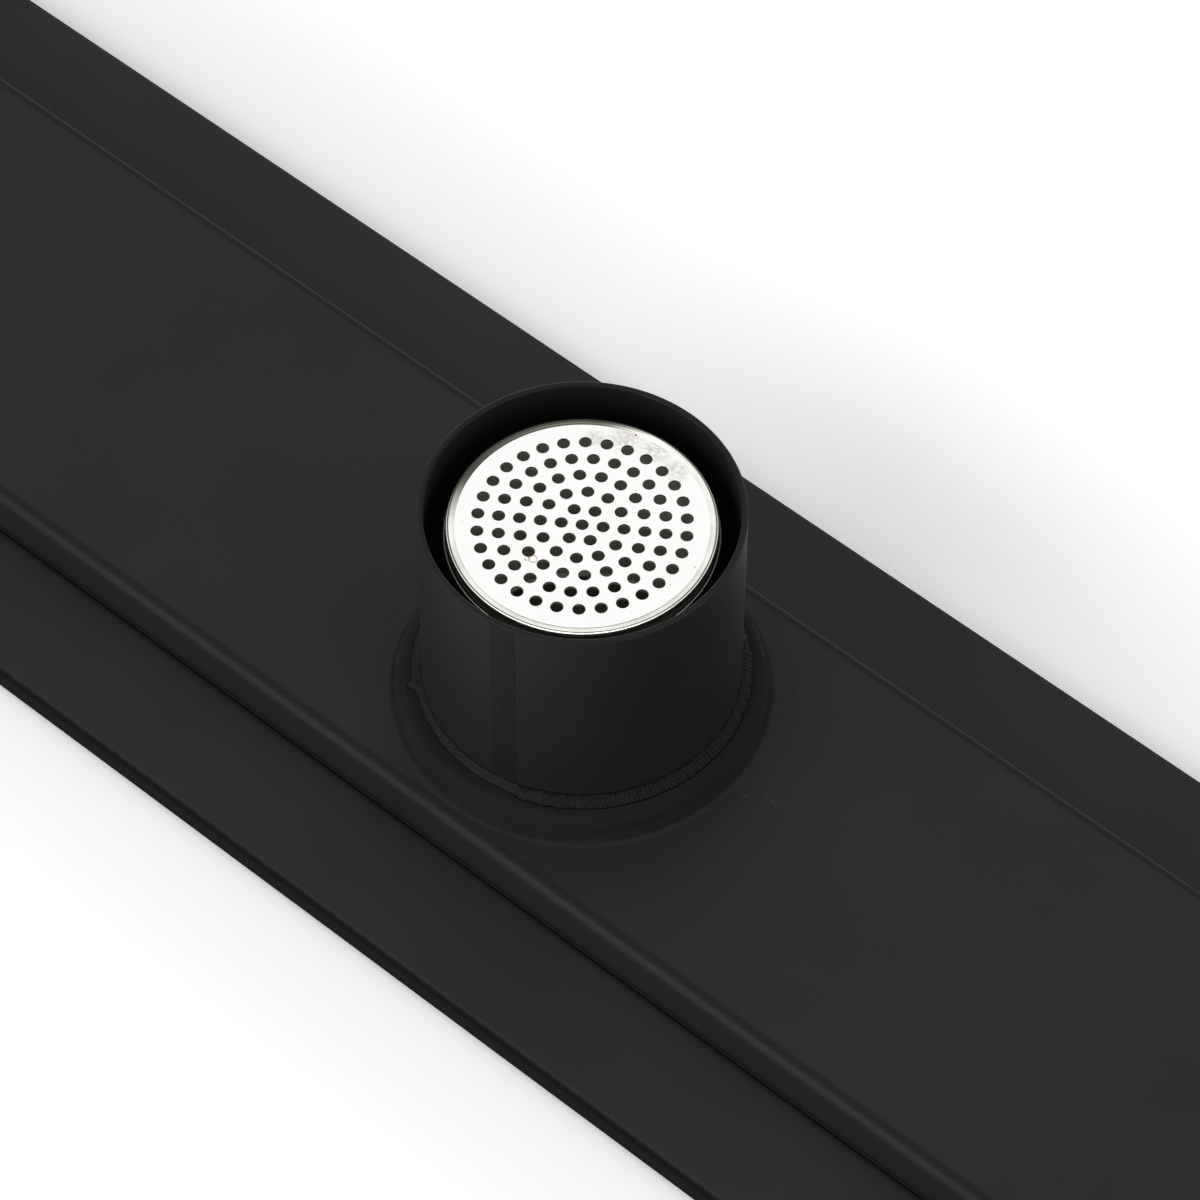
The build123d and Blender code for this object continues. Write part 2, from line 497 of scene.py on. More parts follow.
# Scuffs on the tray, in millimetres: the middle, the direction, half the length and the width of each
SCUFFS = (
    ((36.5, 2.6, 12.0), (0.98, -0.18, 0), 3.6, 0.34),
    ((40.5, 1.6, 12.0), (0.98, -0.18, 0), 3.0, 0.16),
    ((82.0, 26.6, 12.0), (0.96, -0.27, 0), 3.2, 0.16),
    ((33.0, 0.6, 12.0), (0.6, 0.8, 0), 0.6, 0.3),
)
SCUFF = (0.10, 0.10, 0.095, 1)
SCUFF_SHARE = 0.6
SCUFF_BROKEN = 0.5

# Upright marks of the folding die on the near wall: where each is along the channel, and how they run
DIE_MARKS = (-28.3 * MM, 29.3 * MM, 79.4 * MM)
DIE_MARK_HALF = 3.5 * MM
DIE_MARK_WIDTH = 0.22 * MM
DIE_MARK_BROKEN = 0.1
DIE_MARK_DARK = 0.8
UP_THE_WALL = (0, 0.087, 0.996)


def tray_marks(n, place, colour):
    """The tray's painted shade, faint scuffs on its floor, and the die's dark upright marks at the wall's
    root.
    """
    colour = side_shade(n, place, colour, "Y", FLOOR_EDGE)
    colour = neck_shade(n, place, colour)
    for middle, along, half, width in SCUFFS:
        scuff = placed(n, STROKE, place, Middle=[v * MM for v in middle], Along=along,
                       Half_length=half * MM, Width=width * MM, Broken=SCUFF_BROKEN)
        colour = n.over(colour, scuff["Mask"], SCUFF_SHARE, SCUFF)
    for x in DIE_MARKS:
        mark = placed(n, STROKE, place, Middle=(x, FLANGE_WIDTH - HALF_WIDTH, FLANGE_TOP), Along=UP_THE_WALL,
                      Half_length=DIE_MARK_HALF, Width=DIE_MARK_WIDTH, Broken=DIE_MARK_BROKEN)
        colour = n.over(colour, mark["Mask"], DIE_MARK_DARK, SHADE_AND_MARK_BLACK)
    return colour


# The coat on the pipe, darker than the tray's as painted shade on its upright sides
PIPE_SHADED_DARK = (0.0103, 0.0103, 0.0099, 1)
PIPE_SHADED_LIGHT = (0.0124, 0.0124, 0.0119, 1)
BORE = 24.4 * MM
BORE_SHADE = (0.0055, 0.0055, 0.0052, 1)
RIM_START = 0.35 * MM
RIM_FULL = 0.1 * MM
RIM_DARKENING = 0.5
FOOT_SHADE = 0.5 * MM
HEAD_LINE_SHADE = 0.7
PIPE_SPECK = (-6.64 * MM, -24.1 * MM, 37.0 * MM)
PIPE_SPECK_RADIUS = 0.35 * MM


def pipe_marks(n, place, colour):
    """Painted shade in the bore and over the weld's head, a darker band along the rim, and one dark speck."""
    height = n.split(place)["Z"]
    # Painted shade inside the bore
    colour = n.tint(n.math("LESS_THAN", n.from_axis(place), BORE), colour, BORE_SHADE)
    colour = n.over(colour, n.fade(height, RIM - RIM_START, RIM - RIM_FULL), RIM_DARKENING, SHADE_AND_MARK_BLACK)
    # Painted shade in the corner over the weld's head
    colour = n.over(colour, n.within(height, WELD_HEAD, WELD_HEAD + FOOT_SHADE), HEAD_LINE_SHADE, SHADE_AND_MARK_BLACK)
    return n.tint(spot(n, place, PIPE_SPECK, PIPE_SPECK_RADIUS), colour, SHADE_AND_MARK_BLACK)


# Bright steel

STEEL = (0.985, 0.985, 0.975, 1)
STEEL_WORN = (0.93, 0.93, 0.90, 1)
STEEL_WEAR = 0.35
STEEL_GRAIN = 0.25 * MM
STEEL_MOTTLE = 6 * MM
STEEL_ROUGHNESS = (0.16, 0.26)
STEEL_RELIEF = (0.5, 0.006 * MM)
# Dull steel, for wear on the lip and for painted shade over the tube's cut edge
DULL_AND_SHADED_STEEL = (0.06, 0.06, 0.053, 1)
BORE_DARK = (0.50, 0.49, 0.42, 1)
BORE_LIGHT = (0.62, 0.60, 0.51, 1)
BORE_MATT = 0.8


def bright_steel(name):
    """Rolled bright steel: fine grain and a slow variation."""
    material, n, shader, place = new_material(name)
    skin = grained(n, place, STEEL_GRAIN, STEEL_MOTTLE)
    colour = n.over(STEEL, skin["Mottle"], STEEL_WEAR, STEEL_WORN)
    finish(n, shader, colour, n.spread(skin["Fine"], *STEEL_ROUGHNESS), skin["Height"], STEEL_RELIEF)
    shader.inputs["Metallic"].default_value = 1.0
    return material


# Marks on the strainer's face, in millimetres from the pipe's axis: the place and reach of each stain, the
# place and radius of each spot, and the place, radius and width of each dried ring
STAINS = (
    ((-6.0, 17.0), 3.6),
    ((-0.8, 18.0), 3.4),
    ((4.0, 17.2), 2.8),
    ((-9.3, 13.8), 2.6),
)
SPOTS = (
    ((-5.07, 18.47), 0.22),
    ((18.0, 4.99), 0.14),
    ((17.35, -0.03), 0.12),
    ((19.23, -4.8), 0.13),
    ((-17.25, -9.43), 0.20),
    ((-16.18, -11.54), 0.12),
    ((-16.9, -10.4), 0.12),
    ((-14.17, -11.32), 0.10),
)
RINGS = (
    ((-1.35, -9.72), 0.62, 0.16),
    ((-2.05, -10.25), 0.30, 0.16),
)
STAIN_TAN = (0.42, 0.37, 0.28, 1)
STAIN_SHARE = 0.5
SPOT_BROWN = (0.07, 0.06, 0.045, 1)
RING_TAN = (0.52, 0.40, 0.24, 1)
FACE_SPECKS = {"Spacing": 4.5 * MM, "Size": 0.03, "Share": 0.12}
FACE_ROUGHNESS = (0.07, 0.12)

# The cup below its face: its skirt, painted olive as a reflection, and its inside up to the underside of the
# face
SKIRT_REFLECTION_OLIVE = (0.20, 0.195, 0.16, 1)
SKIRT_START = 0.4 * MM
SKIRT_FULL = 0.8 * MM
UNDER_FACE = CUP_SHEET - 0.05 * MM
CUP_INNER = cup_high.x - 0.15 * MM
CUP_ROUGH = 0.45


def face_marks(n, place, colour):
    """Stains, spots, dried rings and fine specks on the strainer's face."""
    for (x, y), reach in STAINS:
        stain = placed(n, STAIN, place, Middle=(x * MM, y * MM, STRAINER_FACE), Reach=reach * MM)
        colour = n.over(colour, stain["Mask"], STAIN_SHARE, STAIN_TAN)
    for (x, y), radius in SPOTS:
        colour = n.tint(spot(n, place, (x * MM, y * MM, STRAINER_FACE), radius * MM), colour, SPOT_BROWN)
    for (x, y), radius, width in RINGS:
        ring = dried_ring(n, place, (x * MM, y * MM, STRAINER_FACE), radius * MM, width * MM)
        colour = n.tint(ring, colour, RING_TAN)
    return n.tint(placed(n, SPECKS, place, **FACE_SPECKS)["Mask"], colour, SPOT_BROWN)


def cup_steel(name):
    """The strainer's cup: a bright marked face, a skirt painted olive as a reflection, and a paler matt skin
    inside.
    """
    material, n, shader, place = new_material(name)
    skin = grained(n, place, STEEL_GRAIN, STEEL_MOTTLE)
    colour = n.over(STEEL, skin["Mottle"], STEEL_WEAR, STEEL_WORN)
    colour = face_marks(n, place, colour)
    height = n.split(place)["Z"]
    skirt = n.within(height, STRAINER_FACE - SKIRT_FULL, STRAINER_FACE - SKIRT_START)
    inside = n.times(n.math("LESS_THAN", height, STRAINER_FACE - UNDER_FACE),
                     n.math("LESS_THAN", n.from_axis(place), CUP_INNER))
    # Painted reflection: the skirt is olive
    colour = n.tint(skirt, colour, SKIRT_REFLECTION_OLIVE)
    colour = n.tint(inside, colour, n.tint(skin["Mottle"], BORE_DARK, BORE_LIGHT))
    rough = n.math("ADD", n.spread(skin["Fine"], *FACE_ROUGHNESS), n.times(inside, CUP_ROUGH))
    finish(n, shader, colour, rough, skin["Height"], STEEL_RELIEF)
    n.feed(shader.inputs["Metallic"], n.rest(n.times(n.math("MAXIMUM", inside, skirt), BORE_MATT)))
    return material


# The strainer's tube: its bore up to the rounded edge, and the painted highlight on the outer half of that
# edge
TUBE_INNER = cup_high.x + 0.1 * MM
TUBE_TOP = tube_high.z - 0.3 * MM
TUBE_ROUGH = 0.3
EDGE_HIGHLIGHT = (0.60, 0.60, 0.57, 1)
TUBE_HIGHLIGHT_START = tube_high.x - 0.2 * MM
TUBE_HIGHLIGHT_FULL = tube_high.x - 0.08 * MM


def tube_steel(name):
    """The strainer's tube: a painted highlight outside, painted shade over its dull cut edge, and a paler
    matt skin inside.
    """
    material, n, shader, place = new_material(name)
    skin = grained(n, place, STEEL_GRAIN, STEEL_MOTTLE)
    radius = n.from_axis(place)
    inside = n.times(n.math("LESS_THAN", radius, TUBE_INNER),
                     n.math("LESS_THAN", n.split(place)["Z"], TUBE_TOP))
    # Painted shade over the tube's cut edge, and a painted highlight on its outer half
    outer = n.tint(n.fade(radius, TUBE_HIGHLIGHT_START, TUBE_HIGHLIGHT_FULL), DULL_AND_SHADED_STEEL, EDGE_HIGHLIGHT)
    colour = n.tint(inside, outer, n.tint(skin["Mottle"], BORE_DARK, BORE_LIGHT))
    rough = n.math("ADD", n.spread(skin["Fine"], *STEEL_ROUGHNESS), n.times(inside, TUBE_ROUGH))
    finish(n, shader, colour, rough, skin["Height"], STEEL_RELIEF)
    n.feed(shader.inputs["Metallic"], n.rest(n.times(inside, BORE_MATT)))
    return material


# The low lip that the strainer's face is pressed into, in distances from the pipe's axis
CUP_LIP_FOOT = 19.3 * MM
CUP_LIP_CREST = 20.05 * MM
CUP_LIP_EDGE = 20.6 * MM
CUP_LIP_RISE = 0.14 * MM
CUP_LIP_ROOT = 0.1 * MM
CUP_LIP_SUNK = 0.06 * MM
CUP_LIP_TOE = 0.01 * MM
CUP_LIP_DEEP = 0.9 * MM
CUP_LIP_SKIRT = 0.3 * MM
CUP_LIP_INNER_SHARE = 0.8
CUP_LIP_START_SHARE = 0.12
CUP_LIP_ARC_STEPS = 12
CUP_LIP_STEPS = 360
CUP_LIP_GRAIN = 0.3 * MM
CUP_LIP_MOTTLE = 5 * MM
CUP_LIP_ROUGHNESS = (0.18, 0.3)
CUP_LIP_RELIEF = (0.6, 0.010 * MM)
CUP_LIP_WEAR = 0.2
# Painted light on the lip: cream toward its lit side and olive shade toward the other
CUP_LIP_SHADED_OLIVE = (0.075, 0.073, 0.058, 1)
CUP_LIP_LIT_CREAM = (0.90, 0.88, 0.82, 1)
CUP_LIP_SHADED_SIDE = math.radians(157)
CUP_LIP_SHADED_SPAN = (8.5 * MM, 16.5 * MM)
CUP_LIP_SKIRT_START = 0.05 * MM
CUP_LIP_SKIRT_FULL = 0.35 * MM
SKIRT_MATT = 0.85
PRESSED_LINE = 20.30 * MM
PRESSED_SPAN = (0.07 * MM, 0.16 * MM)
PRESSED_DARK = (0.03, 0.03, 0.025, 1)
PRESSED_SHARE = 0.9


def lip_steel(name):
    """Steel painted cream on its lit side and olive on its shaded side, dulled here and there, with a dark
    pressed line and a skirt painted olive as a reflection.
    """
    material, n, shader, place = new_material(name)
    skin = grained(n, place, CUP_LIP_GRAIN, CUP_LIP_MOTTLE)
    toward = n.vector("DOT_PRODUCT", place, turned(CUP_LIP_SHADED_SIDE, 1, 0))["Value"]
    # Painted light and shade: cream toward the lit side, olive toward the shaded side
    colour = n.tint(n.fade(toward, *CUP_LIP_SHADED_SPAN), CUP_LIP_LIT_CREAM, CUP_LIP_SHADED_OLIVE)
    height = n.split(place)["Z"]
    skirt = n.within(height, STRAINER_FACE - CUP_LIP_SKIRT_FULL, STRAINER_FACE - CUP_LIP_SKIRT_START)
    # Painted reflection: the skirt is olive
    colour = n.tint(skirt, colour, SKIRT_REFLECTION_OLIVE)
    pressed = n.within(n.off(n.from_axis(place), PRESSED_LINE), *PRESSED_SPAN)
    colour = n.over(colour, pressed, PRESSED_SHARE, PRESSED_DARK)
    colour = n.over(colour, skin["Mottle"], CUP_LIP_WEAR, DULL_AND_SHADED_STEEL)
    finish(n, shader, colour, n.spread(skin["Fine"], *CUP_LIP_ROUGHNESS), skin["Height"], CUP_LIP_RELIEF)
    n.feed(shader.inputs["Metallic"], n.rest(n.times(skirt, SKIRT_MATT)))
    return material


def strainer_lip(material):
    """The low rounded lip round the strainer's face, with a short skirt down the cup's edge."""
    outline = [
        (CUP_LIP_FOOT - CUP_LIP_ROOT, STRAINER_FACE - CUP_LIP_SUNK),
        (CUP_LIP_FOOT, STRAINER_FACE + CUP_LIP_TOE),
    ]
    inner_reach = (CUP_LIP_CREST - CUP_LIP_FOOT) * CUP_LIP_INNER_SHARE
    outer_reach = CUP_LIP_EDGE - CUP_LIP_CREST
    for i in range(CUP_LIP_ARC_STEPS + 1):
        turn = math.pi * i / CUP_LIP_ARC_STEPS
        reach = inner_reach if i < CUP_LIP_ARC_STEPS / 2 else outer_reach
        rise = CUP_LIP_RISE * (CUP_LIP_START_SHARE + (1 - CUP_LIP_START_SHARE) * math.sin(turn))
        outline.append((CUP_LIP_CREST - math.cos(turn) * reach, STRAINER_FACE + rise))
    outline.append((CUP_LIP_EDGE, STRAINER_FACE - CUP_LIP_DEEP))
    outline.append((CUP_LIP_EDGE - CUP_LIP_SKIRT, STRAINER_FACE - CUP_LIP_DEEP))
    return piece("strainer_lip", spun(outline, CUP_LIP_STEPS), material)


# The cover and the seal

BARE_DARK = (0.60, 0.59, 0.515, 1)
BARE_LIGHT = (0.76, 0.745, 0.65, 1)
BARE_METAL = 0.3
BARE_SPAN = (0.1 * MM, 0.3 * MM)
RUBBER_DARK = (0.012, 0.012, 0.012, 1)
RUBBER_LIGHT = (0.022, 0.021, 0.02, 1)
RUBBER_GRAIN = 0.2 * MM
RUBBER_MOTTLE = 4 * MM
RUBBER_ROUGHNESS = (0.7, 0.85)
RUBBER_RELIEF = (0.5, 0.010 * MM)


def cover_skin(name):
    """Plain dull sheet steel with the black coat on its outer face only."""
    material, n, shader, place = new_material(name)
    skin = grained(n, place, COAT_GRAIN)
    bare = n.fade(n.split(place)["Z"], *BARE_SPAN)
    black = n.tint(skin["Mottle"], COAT_DARK, COAT_LIGHT)
    steel = n.tint(skin["Mottle"], BARE_DARK, BARE_LIGHT)
    rough = n.spread(skin["Fine"], *COAT_ROUGHNESS)
    finish(n, shader, n.tint(bare, black, steel), rough, skin["Height"], COAT_RELIEF)
    n.feed(shader.inputs["Metallic"], n.times(bare, BARE_METAL))
    shine(shader, COAT_SHINE)
    return material


def rubber(name):
    """Dull black rubber with a faint dusty bloom."""
    material, n, shader, place = new_material(name)
    skin = grained(n, place, RUBBER_GRAIN, RUBBER_MOTTLE)
    colour = n.tint(skin["Mottle"], RUBBER_DARK, RUBBER_LIGHT)
    finish(n, shader, colour, n.spread(skin["Fine"], *RUBBER_ROUGHNESS), skin["Height"], RUBBER_RELIEF)
    return material


# The weld round the pipe's foot. It is laid in runs, which start and stop at these angles about the pipe.
SEAM_START = math.radians(-71.5)
CRATER = math.radians(-131.5)
SIDE_START = math.radians(45.4)
THIN_MIDDLE = (SEAM_START + CRATER) / 2
THIN_HALF = abs(SEAM_START - CRATER) / 2
WELD_MIDDLE = PIPE_RADIUS + WELD_REACH / 2
RIPPLE_PITCH = 0.7 * MM
CHEVRON = 0.55

# The coat over the weld: painted shade in the grooves between the ripples and along its edges, weaker on the
# thin run
WELD_DARK = (0.0062, 0.0062, 0.0060, 1)
WELD_LIGHT = (0.0170, 0.0170, 0.0164, 1)
WELD_SHINE = 0.07
WELD_GRAIN = 0.25 * MM
WELD_ROUGHNESS = (0.38, 0.5)
WELD_RELIEF = (0.8, 0.04 * MM)
PIT_CELLS = 3200.0
PIT_SPAN = (0.35, 0.65)
PIT_DEPTH = 0.7
GROOVE_AT = 0.62
GROOVE_SPAN = (0.18, 0.42)
GROOVE_CELLS = 900.0
GROOVE_UNEVEN = (0.35, 1.2)
GROOVE_SHADE = 0.85
WELD_EDGE_SPAN = (0.12, 0.45)
THIN_SMOOTH = 0.75
THIN_BLEND = 0.03

# A whole number of ripples that keeps their count above 0
RIPPLES_AHEAD = 1000.0


def ripple_grooves(n, place):
    """1 where shade is painted: in the grooves between the weld's ripples and along its two edges."""
    at = n.split(place)
    out = n.math("SUBTRACT", n.from_axis(place), PIPE_RADIUS)
    rise = n.math("SUBTRACT", at["Z"], NECK_TOP)
    across = n.math("SINE", n.times(n.math("ARCTAN2", rise, out), 2.0))
    angle = n.math("ARCTAN2", at["Y"], at["X"])
    turns = n.math("ADD", n.times(angle, WELD_MIDDLE / RIPPLE_PITCH), RIPPLES_AHEAD)
    wave = n.math("FRACT", n.math("ADD", turns, n.times(across, CHEVRON)))
    groove = n.fade(n.off(wave, GROOVE_AT), *GROOVE_SPAN)
    groove = n.times(groove, n.spread(n.noise(place, GROOVE_CELLS, 2.0), *GROOVE_UNEVEN))
    full = n.fade(n.off(angle, THIN_MIDDLE), THIN_HALF - THIN_BLEND, THIN_HALF + THIN_BLEND)
    groove = n.times(groove, n.spread(full, 1.0 - THIN_SMOOTH, 1.0))
    return n.times(n.math("MAXIMUM", groove, n.within(across, *WELD_EDGE_SPAN)), GROOVE_SHADE)


def weld_skin(name, rippled=False):
    """The coat over a weld: the same black, with a coarser and pitted skin."""
    material, n, shader, place = new_material(name)
    skin = grained(n, place, WELD_GRAIN)
    pits = n.fade(n.noise(place, PIT_CELLS, 3.0, 0.7), *PIT_SPAN)
    colour = n.tint(pits, COAT_DARK, COAT_LIGHT)
    if rippled:
        # Painted shade in the grooves between the ripples and along the weld's edges
        colour = n.tint(ripple_grooves(n, place), n.tint(pits, WELD_DARK, WELD_LIGHT), SHADE_AND_MARK_BLACK)
    height = n.math("ADD", n.times(pits, PIT_DEPTH), skin["Height"])
    finish(n, shader, colour, n.spread(skin["Fine"], *WELD_ROUGHNESS), height, WELD_RELIEF)
    shine(shader, WELD_SHINE if rippled else COAT_SHINE)
    return material


# The weld's shape: its ripples, the lumps where a run starts with their angle, width and height, and the
# crater where a run stops
WELD_ROOT = 0.3 * MM
WELD_CROWN = 0.25 * MM
WELD_STEPS = 1440
WELD_FACE_STEPS = 10
RIPPLE_HEIGHT = 0.15 * MM
RIPPLE_LEAN = 0.7
TOE_SCALLOP = 0.16 * MM
WELD_UNEVEN = 0.16 * MM
WELD_FINE_UNEVEN = 0.06 * MM
FINER = 6
LUMPS = (
    (SEAM_START, math.radians(1.3), 0.34 * MM),
    (SEAM_START - math.radians(3.2), math.radians(1.0), 0.20 * MM),
    (SIDE_START, math.radians(1.6), 0.34 * MM),
)
LUMP_EDGE = 0.4
CRATER_WIDTH = math.radians(1.7)
CRATER_LOW = 1.6
CRATER_REACH = 1.05
CRATER_ROUGH = 0.35
THIN_RUN = 0.62
THIN_EVEN = 0.75
THIN_EDGE = math.radians(1.0)

# Noise cells to a radian about the pipe, and to a radian over the weld's face
UNEVEN_CELLS = (40.0, 3)
CRATER_CELLS = (130.0, 9)

# How the weld's face closes against the neck and the pipe
MELTED = 0.1 * MM
LEAST_REACH = 0.3 * MM
FOOT_SLOPE = math.radians(4)
HEAD_SLOPE = math.radians(80)
TOP_SLOPE = math.radians(86)
WELD_SUNK = 0.06 * MM
HEAD_OVER = 0.02 * MM
HEAD_INTO = 0.05 * MM


def run_fullness(angle):
    """The weld is thinner on the short run between the crater and the seam."""
    edge = apart(angle, THIN_MIDDLE) - THIN_HALF
    share = 1 / (1 + math.exp(edge / THIN_EDGE))
    return 1 + (THIN_RUN - 1) * share


def weld_reach(angle, slope, base):
    """How far the weld's face stands off the corner of pipe and neck.

    The slope is the direction from that corner: 0 along the neck and a right angle up the pipe."""
    across = math.sin(2 * slope)
    phase = angle * WELD_MIDDLE / RIPPLE_PITCH + CHEVRON * across
    wave = math.sin(math.pi * (phase % 1.0) ** RIPPLE_LEAN)
    ripple = RIPPLE_HEIGHT * across * wave
    toe = TOE_SCALLOP * (1 - across) * wave
    place = turned(angle, UNEVEN_CELLS[0], UNEVEN_CELLS[1] * slope)
    uneven = WELD_UNEVEN * noise.noise(place) + WELD_FINE_UNEVEN * noise.noise(place * FINER)
    lumps = sum(height * hump(apart(angle, start), width) for start, width, height in LUMPS)
    crater = hump(apart(angle, CRATER), CRATER_WIDTH) * max(0.0, math.cos(slope * CRATER_LOW))
    rough = noise.noise(turned(angle, CRATER_CELLS[0], CRATER_CELLS[1] * slope))
    crater_reach = (CRATER_REACH + CRATER_ROUGH * rough) * MM * crater
    fullness = run_fullness(angle)
    even = 1 - THIN_EVEN * (1 - fullness) / (1 - THIN_RUN)
    lumps *= LUMP_EDGE + (1 - LUMP_EDGE) * across
    return base * fullness + even * (ripple + toe + uneven) + lumps + crater_reach


def weld_outline():
    """The fillet's half section, closed through the pipe's melted foot."""
    outline = [(PIPE_RADIUS - WELD_ROOT, NECK_TOP - WELD_SUNK), (PIPE_RADIUS - WELD_ROOT, WELD_HEAD)]
    for i in range(WELD_FACE_STEPS + 1):
        slope = math.pi / 2 * (1 - i / WELD_FACE_STEPS)
        chord = WELD_REACH * WELD_RISE / (WELD_REACH * math.sin(slope) + WELD_RISE * math.cos(slope))
        reach = chord + WELD_CROWN * math.sin(2 * slope)
        outline.append((PIPE_RADIUS + reach * math.cos(slope), NECK_TOP + reach * math.sin(slope)))
    return outline


def rippled_weld(material):
    """The fillet weld round the pipe's foot, laid in runs, with a crater where one of them stopped."""
    mesh = spun(weld_outline(), WELD_STEPS)
    for vert in mesh.verts:
        out, rise = math.hypot(vert.co.x, vert.co.y) - PIPE_RADIUS, vert.co.z - NECK_TOP
        if out < -MELTED:
            continue
        angle = math.atan2(vert.co.y, vert.co.x)
        slope = math.atan2(max(rise, 0), max(out, 0))
        reach = max(weld_reach(angle, slope, math.hypot(out, rise)), LEAST_REACH)
        if slope > HEAD_SLOPE:
            reach = max(reach, WELD_RISE + HEAD_OVER)
        vert.co = turned(angle, PIPE_RADIUS + reach * math.cos(slope), NECK_TOP + reach * math.sin(slope))
        if slope < FOOT_SLOPE:
            vert.co.z -= WELD_SUNK
        if slope > TOP_SLOPE:
            vert.co.x *= 1 - HEAD_INTO / PIPE_RADIUS
            vert.co.y *= 1 - HEAD_INTO / PIPE_RADIUS
    made = piece("weld_bead", mesh, material)
    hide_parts("outlet_weld")


# The lengthwise seam of the rolled pipe, ground nearly flush
SEAM_MIDDLE = math.radians(-77.7)
SEAM_WIDTH = 4.2 * MM
SEAM_CROWN = 0.045 * MM
SEAM_WANDER = 0.12 * MM
WANDER_CELLS = 500
SEAM_PITTED = 0.012 * MM
PITS_ACROSS = 2500
PITS_UP = 1200
SEAM_DEEP = 0.25 * MM
SEAM_SHORT = 0.3 * MM
SEAM_IN_WELD = 0.6
SEAM_COLUMNS = 24
SEAM_ROWS = 120
SEAM_DARK = (0.0040, 0.0040, 0.0038, 1)
SEAM_LIGHT = (0.0100, 0.0100, 0.0096, 1)
SEAM_CELLS = 2600.0
SEAM_SPAN = (0.38, 0.62)
SEAM_STRETCH = (1, 1, 0.45)
SEAM_ROUGHNESS = 0.62
SEAM_RELIEF = (0.7, 0.03 * MM)


def seam_skin(name):
    """The ground seam of the rolled pipe under the coat: duller, darker and speckled."""
    material, n, shader, place = new_material(name)
    stretched = n.put("ShaderNodeMapping", Vector=place, Scale=SEAM_STRETCH).outputs[0]
    speckle = n.fade(n.noise(stretched, SEAM_CELLS, 3.0, 0.7), *SEAM_SPAN)
    finish(n, shader, n.tint(speckle, SEAM_DARK, SEAM_LIGHT), SEAM_ROUGHNESS, speckle, SEAM_RELIEF)
    shine(shader, COAT_SHINE)
    return material


def pipe_seam(material):
    """The lengthwise seam of the rolled pipe: a low band, ground nearly flush, from the weld to the rim."""
    bottom = NECK_TOP + WELD_RISE * SEAM_IN_WELD
    top = RIM - SEAM_SHORT
    mesh = bmesh.new()
    bmesh.ops.create_grid(mesh, x_segments=SEAM_COLUMNS, y_segments=SEAM_ROWS, size=0.5)
    raised = bmesh.ops.extrude_face_region(mesh, geom=mesh.faces[:])["geom"]
    for vert in (v for v in raised if isinstance(v, bmesh.types.BMVert)):
        vert.co.z = 1
    for vert in mesh.verts:
        outside = vert.co.z > 0.5
        height = bottom + (top - bottom) * (vert.co.y + 0.5)
        wander = noise.noise(Vector((vert.co.x * 2, height * WANDER_CELLS, 3)))
        across = vert.co.x * SEAM_WIDTH + SEAM_WANDER * wander
        pitted = SEAM_PITTED * noise.noise(Vector((across * PITS_ACROSS, height * PITS_UP, 7)))
        full = 1 - (2 * vert.co.x) ** 4
        radius = PIPE_RADIUS + (SEAM_CROWN * full + pitted * full if outside else -SEAM_DEEP)
        vert.co = turned(SEAM_MIDDLE + across / PIPE_RADIUS, radius, height)
    piece("pipe_seam", mesh, material)


# The neck's slanted side, out from the axis at the height of the tray's floor, and the soft foot over it
NECK_SIDE = 29.55 * MM
NECK_SLANT = math.atan2(4.5, 1.0)
SOFT_FOOT = 1.5 * MM
SOFT_SKIN = 0.012 * MM
SOFT_SUNK = 0.1 * MM
SOFT_IN_NECK = 0.5 * MM
SOFT_TAIL = 0.25 * MM
SOFT_ARC_STEPS = 12
SOFT_STEPS = 360


def neck_foot(material):
    """The coat that fills the corner between the drawn neck and the tray's floor in a soft curve."""
    middle_out = NECK_SIDE - SOFT_FOOT / math.tan(NECK_SLANT) + SOFT_FOOT / math.sin(NECK_SLANT)
    middle_up = FLOOR_TOP + SOFT_FOOT
    start, end = math.pi + (math.pi / 2 - NECK_SLANT), math.pi * 1.5
    outline = [(NECK_SIDE - SOFT_IN_NECK, FLOOR_TOP - SOFT_SUNK), (NECK_SIDE - SOFT_IN_NECK, middle_up)]
    for i in range(SOFT_ARC_STEPS + 1):
        turn = start + (end - start) * i / SOFT_ARC_STEPS
        height = middle_up + SOFT_FOOT * math.sin(turn) + SOFT_SKIN
        outline.append((middle_out + SOFT_FOOT * math.cos(turn), height))
    outline.append((middle_out + SOFT_TAIL, FLOOR_TOP - SOFT_SUNK))
    piece("neck_foot", spun(outline, SOFT_STEPS), material)


# The low dressed welds on the four mitred corners
MITRE_WIDTH = 2.4 * MM
MITRE_CROWN = 0.22 * MM
MITRE_SIDES = 12
MITRE_TAPER = 0.25
MITRE_UNEVEN = 0.35
MITRE_CELLS = 1300
MITRE_SHORT = 0.9 * MM
MITRE_BEND_STEPS = 8
MITRE_FLANGE_STEPS = 40


